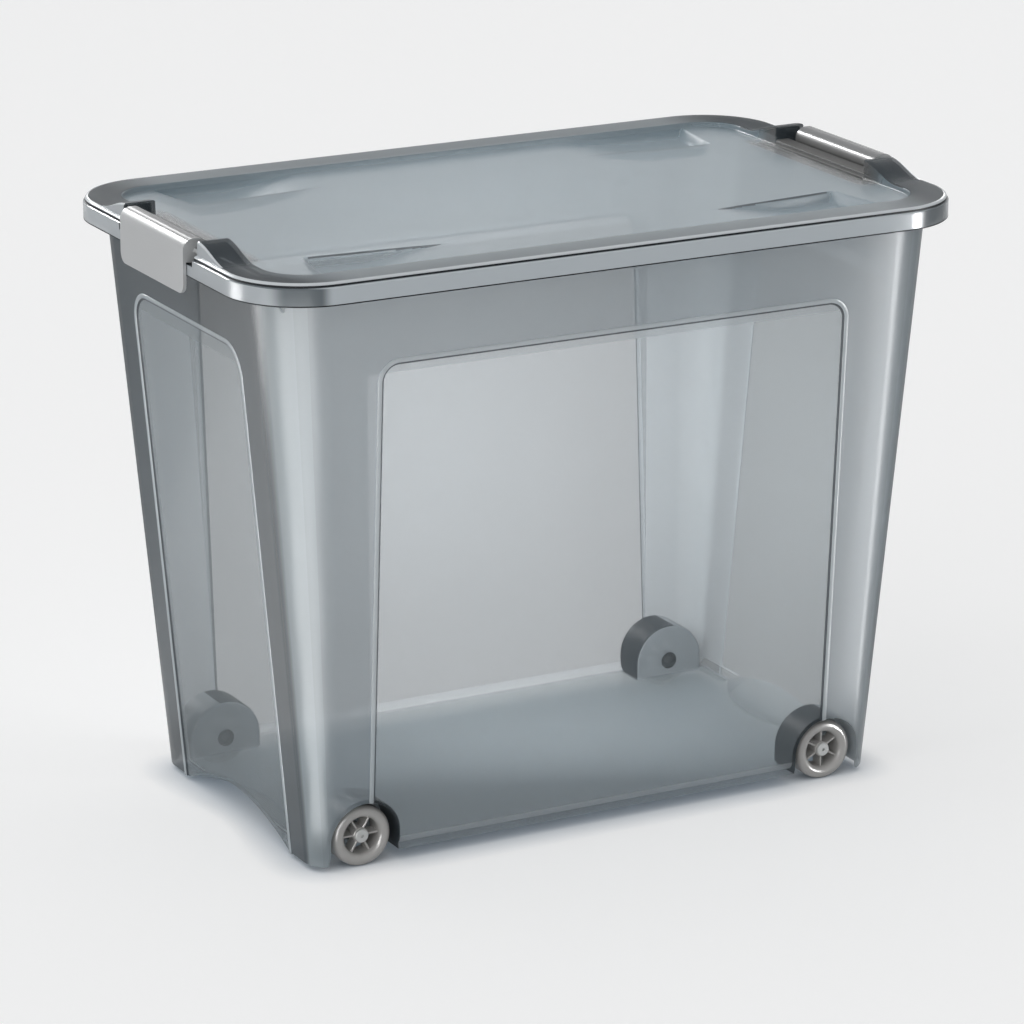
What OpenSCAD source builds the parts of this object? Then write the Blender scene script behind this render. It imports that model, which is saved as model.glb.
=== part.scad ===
// Wheeled bin with a clip-on lid. The long side runs along X, Z is up,
// and the origin is on the ground under the middle of the bin.

/* [Tub] */
// Length over the end walls at the mouth
tub_l = 566; // [500:1:640]
// Width over the side walls at the mouth
tub_w = 335; // [290:1:380]
// Height of the rim above the ground
tub_h = 463; // [380:1:520]
// Wall thickness
wall = 2.4; // [1.8:0.1:3]
// Floor thickness
floor_t = 2.6; // [2:0.1:3.5]
// How far each end wall leans in from mouth to foot
end_draft = 41; // [30:1:48]
// How far each side wall leans in from mouth to foot
side_draft = 28.5; // [22:0.5:34]
// Radius of the upright corners at the mouth
mouth_r = 45; // [40:1:56]
// Radius of the upright corners at the foot
foot_r = 20; // [16:1:28]
// Gap between the corner feet and the ground
foot_gap = 4; // [3:0.5:7]
// How far the floor and the side walls end above the feet
floor_lift = 5.5; // [4:0.5:8]

/* [Tub rim] */
// How far the rim flange reaches out from the wall
rim_reach = 13.8; // [12:0.2:18]
// Thickness of the flange and its lip
rim_t = 2.2; // [1.8:0.1:2.8]
// Height of the turned-down lip
lip_h = 13; // [11:0.5:14]
// Thickness of the gusset under each corner of the rim
gusset_t = 2; // [1.6:0.1:3]
// How far down from the rim's top that gusset reaches
gusset_h = 26; // [18:1:34]

/* [Windows] */
// Depth of the step round each window
window_step = 1; // [0.6:0.1:1.2]
// Half width of the side windows
side_window_hw = 195; // [150:1:198]
// Height of the side windows' top above the ground
side_window_top = 394; // [300:1:410]
// Corner radius of the side windows
side_window_r = 14; // [8:1:24]
// Half width of the end windows
end_window_hw = 94; // [70:1:100]
// Height of the end windows' top above the ground
end_window_top = 399; // [300:1:410]
// Corner radius of the end windows
end_window_r = 22; // [10:1:30]

/* [End arches] */
// Height of each end arch's top above the ground
arch_top = 27; // [20:1:32]
// Radius of the scoop that cuts the arch
arch_r = 235; // [200:5:300]
// Slope of the scoop's ceiling, from level
arch_slope = 29; // [24:1:36]

/* [Wheels] */
// Wheel diameter
wheel_d = 47.5; // [42:0.5:50]
// Wheel width
wheel_w = 18; // [15:0.5:19]
// Distance of the wheel centres from the ends of the tub's foot
wheel_in = 40.8; // [38:0.2:56]
// How far the wheel face sits inside the wall's foot
wheel_inset = 2.8; // [1:0.1:3]
// Outer radius of the spoked opening
eye_r = 14.5; // [13:0.5:16]
// Number of spokes
spokes = 6; // [4:1:8]
// Thickness of a spoke
spoke_t = 1.5; // [1.2:0.1:2.4]
// Radius of the wheel hub
hub_r = 6; // [5.6:0.1:7]
// Gap between wheel and well
well_gap = 4.3; // [3:0.1:5]
// Wall thickness of the wells
well_t = 2; // [1.6:0.1:2.4]

/* [Axle pegs] */
// Radius of the peg's shank
peg_r = 4; // [3.4:0.1:4.6]
// Radial running clearance in the hub
peg_fit = 0.06; // [0.02:0.01:0.1]
// Radius of the peg's head
head_r = 5.2; // [4.8:0.1:5.5]
// Thickness of the head
head_t = 1.8; // [1.4:0.1:2.4]
// Radius of the centre hole in the head
dimple_r = 1.3; // [0.8:0.1:1.8]
// Radius of the barbed end
barb_r = 5; // [4.8:0.1:5.6]
// Radius of the socket's mouth inside the bin
socket_r = 7; // [6.5:0.1:8]
// Depth of the socket's mouth
socket_d = 5; // [4.5:0.1:6]
// End play of the wheel on its peg, each side
wheel_play = 0.4; // [0.3:0.1:0.6]

/* [Lid] */
// Thickness of the lid
lid_t = 2.2; // [1.8:0.1:2.6]
// Gap between the tub's lip and the lid's skirt
skirt_gap = 0.8; // [0.5:0.1:1.2]
// How far the skirt hangs below the tub's lip
skirt_drop = 2; // [1:0.5:3]
// Width of the lid's rim
lid_rim_w = 30; // [27:0.5:34]
// Depth of the panel below the rim
panel_drop = 4; // [3:0.5:6]
// Height of the step on the rim's outer edge
bead_h = 1.2; // [0.8:0.1:1.6]
// Depth of the ring that finds the tub's mouth
plug_h = 8; // [5:0.5:12]
// Gap between that ring and the tub's wall
plug_gap = 1; // [0.6:0.1:1.6]

/* [Wheel pockets] */
// Depth of a pocket below the panel
pocket_d = 8; // [5:0.5:10]
// Distance of a pocket's deep end beyond the wheel centre
pocket_out = 25; // [22:1:28]
// Length of the sloping part
pocket_slope_l = 66; // [50:1:80]
// Length of the flat part
pocket_flat_l = 36; // [28:1:44]
// Length of the steep end
pocket_end_l = 6; // [4:0.5:8]
// Width of a pocket's deep end, from the rim inwards
pocket_w = 61; // [54:1:70]
// How much narrower the shallow end is
pocket_skew = 8; // [2:1:12]

/* [Clips] */
// Width of a clip
clip_w = 114; // [90:1:130]
// Thickness of a clip
clip_t = 2.5; // [2:0.1:3]
// Radius of the rolled top
roll_r = 9; // [8:0.1:10]
// Height of the clip's top above the lid's rim
clip_rise = 10.4; // [9:0.1:12]
// How far the plate hangs below the lid's skirt
clip_drop = 13.5; // [10:0.5:18]
// Corner radius of the plate
clip_corner_r = 8; // [4:0.5:12]
// Gap between the plate and the skirt
clip_gap = 0.6; // [0.4:0.1:1]
// Gap between the roll and its trough
trough_gap = 0.6; // [0.4:0.1:1]
// Gap between a clip's end and the wing beside it
clip_end_gap = 9; // [5:0.5:12]
// Radius of the hinge pegs
hinge_r = 2.5; // [2:0.1:3]
// Radial running clearance of the hinge pegs
hinge_fit = 0.08; // [0.02:0.01:0.1]
// Width of the catch on the plate
catch_w = 84; // [60:1:90]
// Side clearance between the catch and the tub's lip
catch_gap = 0.4; // [0.3:0.1:0.6]

/* [Wings] */
// Length of a wing from the clip towards the corner
wing_l = 45; // [40:1:64]
// Thickness of a wing's end wall, which holds the hinge peg
wing_end_t = 4; // [3:0.5:5]
// How far a wing's outer face sits inside the skirt's
wing_inset = 4; // [3:0.5:6]
// Width of a wing's top
wing_w = 25; // [20:0.5:26]

/* [Hidden] */
hull_fn = 40;
round_fn = 96;
disc_t = 0.01;
cut = 1;
far = 200;

// Heights
foot_z = foot_gap;
side_z = foot_z + floor_lift;
floor_z = side_z + floor_t;
wall_h = tub_h - foot_z;
lid_top = tub_h + lid_t;
panel_z = lid_top - panel_drop;
lip_z = tub_h - lip_h;
skirt_z = lip_z - skirt_drop;

// Half sizes of the tub, and its slopes
mouth_x = tub_l / 2;
mouth_y = tub_w / 2;
foot_x = mouth_x - end_draft;
foot_y = mouth_y - side_draft;
end_angle = atan(end_draft / wall_h);
side_angle = atan(side_draft / wall_h);
function wall_x(z) = foot_x + (z - foot_z) * tan(end_angle);
function wall_y(z) = foot_y + (z - foot_z) * tan(side_angle);
function corner_r(z) = foot_r + (mouth_r - foot_r) * (z - foot_z) / wall_h;

// Half sizes of the tub's lip and of the lid
lip_x = mouth_x + rim_reach;
lip_y = mouth_y + rim_reach;
lip_r = mouth_r + rim_reach;
lid_x = lip_x + skirt_gap + lid_t;
lid_y = lip_y + skirt_gap + lid_t;
lid_r = lip_r + skirt_gap + lid_t;
panel_x = lid_x - lid_rim_w;
panel_y = lid_y - lid_rim_w;
panel_r = lid_r - lid_rim_w;

// Wheels, wells and pegs
wheel_r = wheel_d / 2;
wheel_x = foot_x - wheel_in;
wheel_z = wheel_r;
wheel_y = foot_y - wheel_inset;
well_r = wheel_r + well_gap;
hub_out = 1.6;
hub_in = 1.6;
hub_end = wheel_y - wheel_w - hub_in;
socket_floor = hub_end - wheel_play;
well_y = socket_floor - well_t - socket_d;
bore_r = peg_r + peg_fit;
notch_h = 9;
notch_w = 5;
tread_t = 3;
eye_wall = 2;
barb_l = 2.6;
barb_tip = 1;
edge_c = 0.6;

// Clips and their seat
hinge_z = lid_top + clip_rise - roll_r;
trough_r = roll_r + trough_gap;
plate_in = lid_x + clip_gap;
plate_out = plate_in + clip_t;
roll_back = 2.2;
roll_step = 0.5;
hinge_x = plate_out - roll_r - roll_back;
outer_roll_r = roll_r - roll_step;
plate_z = skirt_z - clip_drop;
seat_hw = clip_w / 2 + clip_end_gap;
saddle_z = hinge_z - trough_r;
low_rim_z = saddle_z - lid_t;
low_rim_hw = seat_hw + wing_end_t + skirt_gap;
ridge_x = hinge_x - trough_r;
catch_h = 3;
catch_drop = 1.4;
catch_z = skirt_z - catch_drop;
low_lip_rise = 0.2;
low_lip_z = skirt_z + low_lip_rise;
cheek_lift = 1;
wing_rise = clip_rise;
wing_steps = 6;
peg_l = clip_end_gap + wing_end_t;

// Rounded rectangle given by its half sizes
module rounded(hx, hy, r) {
    square([2 * hx, 2 * (hy - r)], center = true);
    square([2 * (hx - r), 2 * hy], center = true);
    for (sx = [-1, 1], sy = [-1, 1])
        translate([sx * (hx - r), sy * (hy - r)])
            circle(r = r, $fn = round_fn);
}

// Upright slab with rounded corners, from z0 to z1
module slab(hx, hy, r, z0, z1) {
    translate([0, 0, z0])
        linear_extrude(z1 - z0)
            rounded(hx, hy, r);
}

// Upright ring between that slab and one set in by t
module ring(hx, hy, r, t, z0, z1) {
    translate([0, 0, z0])
        linear_extrude(z1 - z0)
            difference() {
                rounded(hx, hy, r);
                rounded(hx - t, hy - t, r - t);
            }
}

// Box given by two corners
module block(a, b) {
    translate(a)
        cube(b - a);
}

// Drafted body with rounded corners, between two heights and set in by t
module drafted(z0, z1, t) {
    hull()
        for (z = [z0, z1 - disc_t], sx = [-1, 1], sy = [-1, 1])
            translate([sx * (wall_x(z) - corner_r(z)), sy * (wall_y(z) - corner_r(z)), z])
                cylinder(r = corner_r(z) - t, h = disc_t, $fn = hull_fn);
}

// Each of the four wheel places, with Y pointing outwards
module at_wheels() {
    for (sx = [-1, 1], sy = [-1, 1])
        at_wheel(sx, sy)
            children();
}

module at_wheel(sx, sy) {
    mirror([0, sy < 0 ? 1 : 0, 0])
        translate([sx * wheel_x, 0, wheel_z])
            children();
}

// Prism along Y from y0 to y1 of a profile drawn in X and Z
module along_y(y0, y1) {
    translate([0, y1, 0])
        rotate([90, 0, 0])
            linear_extrude(y1 - y0)
                children();
}

// Outline of a wheel well: round above, straight down to below the foot
module well_outline(r) {
    circle(r = r, $fn = round_fn);
    translate([-r, -wheel_z - cut])
        square([2 * r, wheel_z + cut]);
}

// Void of a well, flared at its lower edge
module well_void() {
    along_y(well_y + well_t, foot_y + far)
        union() {
            well_outline(well_r);
            translate([0, foot_z - wheel_z])
                polygon([
                    [-well_r - notch_w, -cut], [well_r + notch_w, -cut],
                    [well_r, notch_h], [-well_r, notch_h]
                ]);
        }
}

// Scoop under an end wall, for the right end, grown by t
module scoop(t) {
    translate([wall_x(arch_top), 0, arch_top])
        rotate([0, 90 - arch_slope, 0])
            translate([arch_r, 0, 0])
                cylinder(r = arch_r + t, h = far, center = true, $fn = 4 * round_fn);
}

// Outline of a window that runs off the foot of its wall
module window_outline(hw, top, r) {
    translate([-hw, -cut])
        square([2 * hw, top - r + cut]);
    translate([-hw + r, -cut])
        square([2 * (hw - r), top + cut]);
    for (s = [-1, 1])
        translate([s * (hw - r), top - r])
            circle(r = r, $fn = round_fn);
}

module side_window() {
    translate([0, foot_y - window_step, foot_z])
        rotate([-side_angle, 0, 0])
            along_y(0, far)
                window_outline(side_window_hw, side_window_top - foot_z, side_window_r);
}

module end_window() {
    translate([foot_x - window_step, 0, foot_z])
        rotate([0, end_angle, 0])
            rotate([0, 0, -90])
                along_y(0, far)
                    window_outline(end_window_hw, end_window_top - foot_z, end_window_r);
}

// Both ends, or both sides, from the one drawn at +X or +Y
module both_ends() {
    children();
    mirror([1, 0, 0])
        children();
}

module both_sides() {
    children();
    mirror([0, 1, 0])
        children();
}

module tub_body() {
    difference() {
        drafted(foot_z, tub_h, 0);
        difference() {
            drafted(floor_z, tub_h + cut, wall);
            at_wheels()
                along_y(well_y, foot_y + far)
                    well_outline(well_r + well_t);
            at_wheels()
                along_y(well_y, socket_floor)
                    circle(r = socket_r + well_t, $fn = round_fn);
            both_ends()
                scoop(wall);
        }
        slab(foot_x - wall, foot_y - wall, foot_r - wall, foot_z - cut, side_z);
        block([-wheel_x, -foot_y - cut, foot_z - cut], [wheel_x, foot_y + cut, side_z]);
        at_wheels()
            well_void();
        both_ends()
            scoop(0);
        both_sides()
            side_window();
        both_ends()
            end_window();
    }
}

module socket_boss() {
    along_y(well_y + well_t - cut, socket_floor)
        circle(r = socket_r + well_t, $fn = round_fn);
}

module socket_cut() {
    along_y(well_y - cut, socket_floor - well_t)
        circle(r = socket_r, $fn = round_fn);
    along_y(well_y - cut, socket_floor + cut)
        circle(r = bore_r, $fn = round_fn);
}

module tub_rim() {
    difference() {
        ring(lip_x, lip_y, lip_r, rim_reach + wall / 2, tub_h - rim_t, tub_h);
        both_ends()
            block([mouth_x - far / 4, -low_rim_hw, low_rim_z], [lip_x + cut, low_rim_hw, tub_h + cut]);
    }
    difference() {
        ring(lip_x, lip_y, lip_r, rim_t, lip_z, tub_h);
        both_ends()
            block([mouth_x, -low_rim_hw, low_rim_z], [lip_x + cut, low_rim_hw, tub_h + cut]);
    }
    both_ends() {
        block([wall_x(low_rim_z) - wall / 2, -low_rim_hw, low_rim_z - rim_t], [lip_x, low_rim_hw, low_rim_z]);
        block([lip_x - rim_t, -low_rim_hw, low_lip_z], [lip_x, low_rim_hw, low_rim_z]);
    }
    both_ends()
        both_sides()
            translate([mouth_x - mouth_r, mouth_y - mouth_r, 0])
                rotate([0, 0, 45])
                    along_y(-gusset_t / 2, gusset_t / 2)
                        polygon([
                            [mouth_r - 2 * wall, tub_h - gusset_h], [mouth_r - wall / 2, tub_h - cut],
                            [lip_r - cut, tub_h - cut], [lip_r - cut, lip_z + cut]
                        ]);
}

module tub() {
    color([0.55, 0.62, 0.66, 0.6])
        difference() {
            union() {
                difference() {
                    tub_body();
                    both_ends()
                        block([mouth_x - far / 4, -low_rim_hw, low_rim_z], [lip_x, low_rim_hw, tub_h + cut]);
                }
                at_wheels()
                    socket_boss();
                tub_rim();
            }
            at_wheels()
                socket_cut();
        }
}

// Pocket floor line in X and Z, from the shallow end to the deep one, lowered by t
pocket_x0 = wheel_x + pocket_out - pocket_end_l - pocket_flat_l - pocket_slope_l;
pocket_steps = 8;
function ease(u) = u * u * (3 - 2 * u);
function pocket_line(t) = concat(
    [for (i = [0:pocket_steps])
        [pocket_x0 + pocket_slope_l * i / pocket_steps, panel_z - pocket_d * ease(i / pocket_steps) - t]],
    [[pocket_x0 + pocket_slope_l + pocket_flat_l + t, panel_z - pocket_d - t]],
    [[pocket_x0 + pocket_slope_l + pocket_flat_l + pocket_end_l + t, panel_z - t]]
);

// Solid under a pocket, or its void, at the right and back
module pocket(t, top) {
    difference() {
        along_y(0, panel_y + (t > 0 ? t : 0))
            polygon(concat(pocket_line(t), [[wheel_x + pocket_out + t, top], [pocket_x0, top]]));
        translate([pocket_x0 + pocket_slope_l + pocket_flat_l + pocket_end_l, panel_y - pocket_w - t, 0])
            rotate([0, 0, -atan(pocket_skew / pocket_slope_l)])
                block([-far, -far, 0], [far, 0, 2 * tub_h]);
    }
}

// Point on a wing's top at a share u of its length, lowered by t
function wing_point(u, t) = [seat_hw + wing_l * u, lid_top + wing_rise * (1 - ease(u)) - t];

// Section of a wing in Y and Z, drawn as X and Y
module wing_outline() {
    polygon(concat(
        [[seat_hw, tub_h]],
        [for (i = [0:wing_steps]) wing_point(i / wing_steps, 0)],
        [[seat_hw + wing_l, tub_h]]
    ));
}

// Section of the hollow under a wing
module wing_hollow() {
    last = (wing_steps - 1) / wing_steps;
    polygon(concat(
        [[seat_hw + wing_end_t, tub_h - cut]],
        [wing_point(wing_end_t / wing_l, lid_t)],
        [for (i = [1:wing_steps - 1]) wing_point(i / wing_steps, lid_t)],
        [[seat_hw + wing_l * last, tub_h - cut]]
    ));
}

// A wing, or with t the hollow under it, from a section
module wing(t) {
    translate([lid_x - wing_inset - wing_w + t, 0, 0])
        rotate([90, 0, 90])
            linear_extrude(wing_w - 2 * t)
                children();
}

module lid_sheet() {
    difference() {
        union() {
            ring(lid_x, lid_y, lid_r, lid_rim_w, tub_h, lid_top - bead_h);
            ring(lid_x - bead_h, lid_y - bead_h, lid_r - bead_h, lid_rim_w - bead_h, tub_h, lid_top);
            ring(lid_x, lid_y, lid_r, lid_t, skirt_z, lid_top - bead_h);
            ring(panel_x + lid_t, panel_y + lid_t, panel_r + lid_t, lid_t, panel_z - lid_t, lid_top);
            slab(panel_x + lid_t / 2, panel_y + lid_t / 2, panel_r + lid_t / 2, panel_z - lid_t, panel_z);
            ring(
                wall_x(tub_h - plug_h) - wall - plug_gap, wall_y(tub_h - plug_h) - wall - plug_gap,
                mouth_r - wall - plug_gap, lid_t, tub_h - plug_h, lid_top - cut
            );
            both_ends()
                both_sides()
                    intersection() {
                        pocket(lid_t, panel_z - cut / 2);
                        slab(panel_x + lid_t, panel_y + lid_t, panel_r + lid_t, low_rim_z - far, lid_top);
                    }
            both_ends()
                both_sides()
                    wing(0)
                        wing_outline();
        }
        both_ends()
            both_sides()
                intersection() {
                    pocket(0, lid_top + cut);
                    slab(panel_x, panel_y, panel_r, low_rim_z - far, lid_top + cut);
                }
        both_ends()
            both_sides()
                wing(lid_t)
                    wing_hollow();
        both_ends()
            block([ridge_x, -seat_hw, low_rim_z - cut], [lid_x - lid_t, seat_hw, lid_top + cut]);
        both_ends()
            block([ridge_x, -seat_hw, saddle_z], [lid_x + cut, seat_hw, lid_top + cut]);
    }
}

// Low seat for a clip, drawn at the right end
module seat() {
    seat_in = min(ridge_x - lid_t, wall_x(low_rim_z) - wall);
    difference() {
        union() {
            block([ridge_x - lid_t, -seat_hw, low_rim_z], [lid_x, seat_hw, saddle_z + lid_t]);
            block([seat_in, -seat_hw - wing_end_t, low_rim_z], [ridge_x, seat_hw + wing_end_t, lid_top]);
            both_sides()
                block([ridge_x, seat_hw, low_rim_z], [lid_x - wing_inset, seat_hw + wing_end_t, tub_h + cut]);
            both_sides()
                block([ridge_x, seat_hw, low_rim_z], [lid_x, seat_hw + wing_end_t, tub_h]);
        }
        translate([hinge_x, 0, hinge_z])
            along_y(-seat_hw, seat_hw)
                circle(r = trough_r, $fn = round_fn);
        block([hinge_x, -seat_hw, saddle_z], [lid_x + cut, seat_hw, lid_top + far]);
    }
}

module lid() {
    color([0.62, 0.68, 0.72, 0.5])
        difference() {
            union() {
                lid_sheet();
                both_ends()
                    seat();
            }
            both_ends()
                translate([hinge_x, 0, hinge_z])
                    along_y(-seat_hw - peg_l, seat_hw + peg_l)
                        circle(r = hinge_r + hinge_fit, $fn = round_fn);
        }
}

// Outer outline of a clip's rolled top and plate, in X and Z about the hinge
module clip_outline(t) {
    drop = hinge_z - plate_z;
    reach = plate_out - hinge_x;
    circle(r = roll_r - t, $fn = round_fn);
    translate([reach - outer_roll_r, roll_r - outer_roll_r])
        circle(r = outer_roll_r - t, $fn = round_fn);
    square([reach - outer_roll_r, roll_r - t]);
    translate([0, -drop - (t > 0 ? cut : 0)])
        square([reach - t, drop + roll_r - outer_roll_r + (t > 0 ? cut : 0)]);
}

// Clip drawn about its hinge, with the plate towards +X
module clip_shape() {
    drop = hinge_z - plate_z;
    reach = plate_out - hinge_x;
    lip_drop = 3;
    difference() {
        union() {
            along_y(-clip_w / 2, clip_w / 2)
                difference() {
                    clip_outline(0);
                    clip_outline(clip_t);
                    translate([-far, -far - lip_drop])
                        square([far + reach - 2 * clip_t, far]);
                }
            both_sides()
                along_y(clip_w / 2 - clip_t, clip_w / 2)
                    intersection() {
                        clip_outline(0);
                        union() {
                            circle(r = roll_r, $fn = round_fn);
                            translate([0, -roll_r + cheek_lift])
                                square([reach, 2 * roll_r]);
                        }
                    }
            both_sides()
                along_y(clip_w / 2 - cut, clip_w / 2 + peg_l - hinge_fit)
                    circle(r = hinge_r, $fn = round_fn);
            along_y(-catch_w / 2, catch_w / 2)
                polygon([
                    [reach - cut, catch_z - hinge_z], [lip_x + catch_gap - hinge_x, catch_z - hinge_z],
                    [reach - cut, catch_z - catch_h - hinge_z]
                ]);
        }
        both_sides()
            translate([reach - far / 2, clip_w / 2 - clip_corner_r, -drop])
                rotate([0, 90, 0])
                    difference() {
                        translate([-clip_corner_r, 0, 0])
                            cube([clip_corner_r + cut, clip_corner_r + cut, far]);
                        translate([-clip_corner_r, 0, -cut])
                            cylinder(r = clip_corner_r, h = far + 2 * cut, $fn = round_fn);
                    }
    }
}

module clip_left() {
    color([0.78, 0.78, 0.76])
        mirror([1, 0, 0])
            translate([hinge_x, 0, hinge_z])
                clip_shape();
}

module clip_right() {
    color([0.78, 0.78, 0.76])
        translate([hinge_x, 0, hinge_z])
            clip_shape();
}

// Wheel about its axis, with its face at wheel_y
module wheel(sx, sy) {
    face = wheel_y;
    back = wheel_y - wheel_w;
    ring_t = wheel_r - eye_r;
    shoulder = ring_t / 2;
    color([0.6, 0.6, 0.6])
        at_wheel(sx, sy) {
            difference() {
                rotate([-90, 0, 0])
                    rotate_extrude($fn = round_fn)
                        union() {
                            translate([eye_r, back])
                                square([ring_t - cut / 2, wheel_w - shoulder]);
                            translate([wheel_r - tread_t, back + cut])
                                square([tread_t, wheel_w - shoulder - cut]);
                            translate([eye_r + shoulder, face - shoulder])
                                circle(r = shoulder, $fn = round_fn);
                        }
                along_y(back - cut, back + wheel_w / 2)
                    difference() {
                        circle(r = wheel_r - tread_t, $fn = round_fn);
                        circle(r = eye_r + eye_wall, $fn = round_fn);
                    }
            }
            difference() {
                union() {
                    along_y(hub_end, face - hub_out - head_t)
                        circle(r = hub_r, $fn = round_fn);
                    for (i = [0:spokes - 1])
                        rotate([0, i * 360 / spokes, 0])
                            block([0, back, -spoke_t / 2], [eye_r + cut, face - shoulder, spoke_t / 2]);
                }
                along_y(hub_end - cut, face)
                    circle(r = bore_r, $fn = round_fn);
            }
        }
}

// Axle peg about the wheel's axis
module axle(sx, sy) {
    head_in = wheel_y - hub_out - head_t + wheel_play;
    head_out = head_in + head_t;
    barb_in = socket_floor - well_t;
    color([0.82, 0.82, 0.8])
        at_wheel(sx, sy)
            difference() {
                rotate([-90, 0, 0])
                    rotate_extrude($fn = round_fn)
                        polygon([
                            [0, barb_in - barb_l], [peg_r - barb_tip, barb_in - barb_l],
                            [barb_r, barb_in - edge_c], [barb_r, barb_in], [peg_r, barb_in],
                            [peg_r, head_in], [head_r, head_in], [head_r, head_out - edge_c],
                            [head_r - edge_c, head_out], [0, head_out]
                        ]);
                along_y(head_in, head_out + cut)
                    circle(r = dimple_r, $fn = round_fn);
            }
}

module wheel_front_left() {
    wheel(-1, -1);
}

module wheel_front_right() {
    wheel(1, -1);
}

module wheel_back_left() {
    wheel(-1, 1);
}

module wheel_back_right() {
    wheel(1, 1);
}

module axle_front_left() {
    axle(-1, -1);
}

module axle_front_right() {
    axle(1, -1);
}

module axle_back_left() {
    axle(-1, 1);
}

module axle_back_right() {
    axle(1, 1);
}

tub();
lid();
clip_left();
clip_right();
wheel_front_left();
wheel_front_right();
wheel_back_left();
wheel_back_right();
axle_front_left();
axle_front_right();
axle_back_left();
axle_back_right();
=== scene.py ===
"""Looks of the wheeled bin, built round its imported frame. Sizes are in millimetres until a mesh is made."""
import math

import bmesh
import bpy
import numpy as np
from mathutils import Matrix, Vector


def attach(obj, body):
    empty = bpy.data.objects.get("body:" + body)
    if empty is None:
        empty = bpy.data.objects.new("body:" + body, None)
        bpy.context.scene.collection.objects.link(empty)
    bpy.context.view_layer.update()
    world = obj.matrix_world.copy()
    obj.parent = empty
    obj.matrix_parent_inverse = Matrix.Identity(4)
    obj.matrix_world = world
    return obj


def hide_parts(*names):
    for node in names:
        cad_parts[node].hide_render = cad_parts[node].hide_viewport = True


MM = 0.001
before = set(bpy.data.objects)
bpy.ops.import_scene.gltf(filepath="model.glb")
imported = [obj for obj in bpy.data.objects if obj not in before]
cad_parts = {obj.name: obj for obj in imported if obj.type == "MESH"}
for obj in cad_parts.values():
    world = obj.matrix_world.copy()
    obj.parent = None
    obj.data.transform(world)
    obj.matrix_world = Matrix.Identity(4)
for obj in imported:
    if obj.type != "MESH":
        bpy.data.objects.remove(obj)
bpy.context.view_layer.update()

# Tub, as in the part's source
TUB_L, TUB_W, TUB_H = 566.0, 335.0, 463.0
WALL, FLOOR_T = 2.4, 2.6
END_DRAFT, SIDE_DRAFT = 41.0, 28.5
MOUTH_R, FOOT_R = 45.0, 20.0
FOOT_Z, SIDE_Z = 4.0, 9.5
FLOOR_Z = SIDE_Z + FLOOR_T
FLOOR_ROUND = 7.0
MOUTH_X, MOUTH_Y = TUB_L / 2, TUB_W / 2
FOOT_X, FOOT_Y = MOUTH_X - END_DRAFT, MOUTH_Y - SIDE_DRAFT
WALL_H = TUB_H - FOOT_Z
END_LEAN, SIDE_LEAN = math.atan(END_DRAFT / WALL_H), math.atan(SIDE_DRAFT / WALL_H)

# Tub rim
RIM_REACH, RIM_T, LIP_H = 13.8, 2.2, 13.0
LIP_Z = TUB_H - LIP_H
GUSSET_T, GUSSET_H = 2.0, 26.0

# Windows: half width, top height and corner radius
SIDE_WINDOW = (195.0, 394.0, 14.0)
END_WINDOW = (94.0, 399.0, 22.0)
WINDOW_STEP = 1.0
BEAD_W, BEAD_H = 3.6, 0.9

# End arches
ARCH_TOP, ARCH_R, ARCH_SLOPE = 27.0, 235.0, 29.0

# Wheels, wells and pegs
WHEEL_R, WHEEL_W, WHEEL_X = 23.75, 18.0, 201.2
WHEEL_Z = WHEEL_R
WHEEL_Y = FOOT_Y - 2.8
EYE_R, SPOKES, SPOKE_T, HUB_R = 14.5, 6, 1.5, 6.0
WELL_R, WELL_T = WHEEL_R + 4.3, 2.0
HUB_END = WHEEL_Y - WHEEL_W - 1.6
SOCKET_FLOOR = HUB_END - 0.4
SOCKET_R, SOCKET_D = 7.0, 5.0
WELL_Y = SOCKET_FLOOR - WELL_T - SOCKET_D
BORE_R = 4.06
NOTCH_W, NOTCH_H = 5.0, 9.0

# Lid
LID_T, LID_TOP, SKIRT_Z = 2.2, 465.2, 448.0
LID_X, LID_Y, LID_R = 299.8, 184.3, 61.8
PANEL_Z = 461.2
SKIRT_LINE_H, POCKET_LINE_H = 1.1, 1.3
LID_AX, LID_AY = LID_X - LID_R, LID_Y - LID_R

# Pockets, drawn at the right and back
POCKET_D = 8.0
POCKET_X = (108.0, 184.0, 220.0, 226.5)
POCKET_Y = (92.0, 103.0)
POCKET_OUTER_Y = 151.6

# Clips and the seats under them
CLIP_W, CLIP_T, ROLL_R, OUTER_ROLL_R = 114.0, 2.5, 9.0, 8.5
HINGE_X, HINGE_Z = 291.7, 466.6
PLATE_REACH, PLATE_DROP, CLIP_CORNER_R = 11.2, 32.1, 8.0
TROUGH_R, SADDLE_Z = 9.6, 457.0
SEAT_Y, WING_END_T, WING_END_Y = 66.0, 4.0, 111.0
WING_RISE, WING_INSET = 10.4, 4.0
LOW_RIM_Y, LOW_RIM_Z, LOW_LIP_Z = 70.8, 454.8, 448.2
HINGE_R = 2.5

# Steps of a rounded corner, a round hole and a turned piece
ARC_N, HOLE_N, LATHE_N = 20, 48, 72

# Places that a cut reaches to, clear of the bin
BELOW, BEYOND_Y = -20.0, FOOT_Y + 60


def wall_x(z):
    return FOOT_X + (z - FOOT_Z) * math.tan(END_LEAN)


def wall_y(z):
    return FOOT_Y + (z - FOOT_Z) * math.tan(SIDE_LEAN)


def corner_r(z):
    return FOOT_R + (MOUTH_R - FOOT_R) * (z - FOOT_Z) / WALL_H


# Mesh helpers

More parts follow.
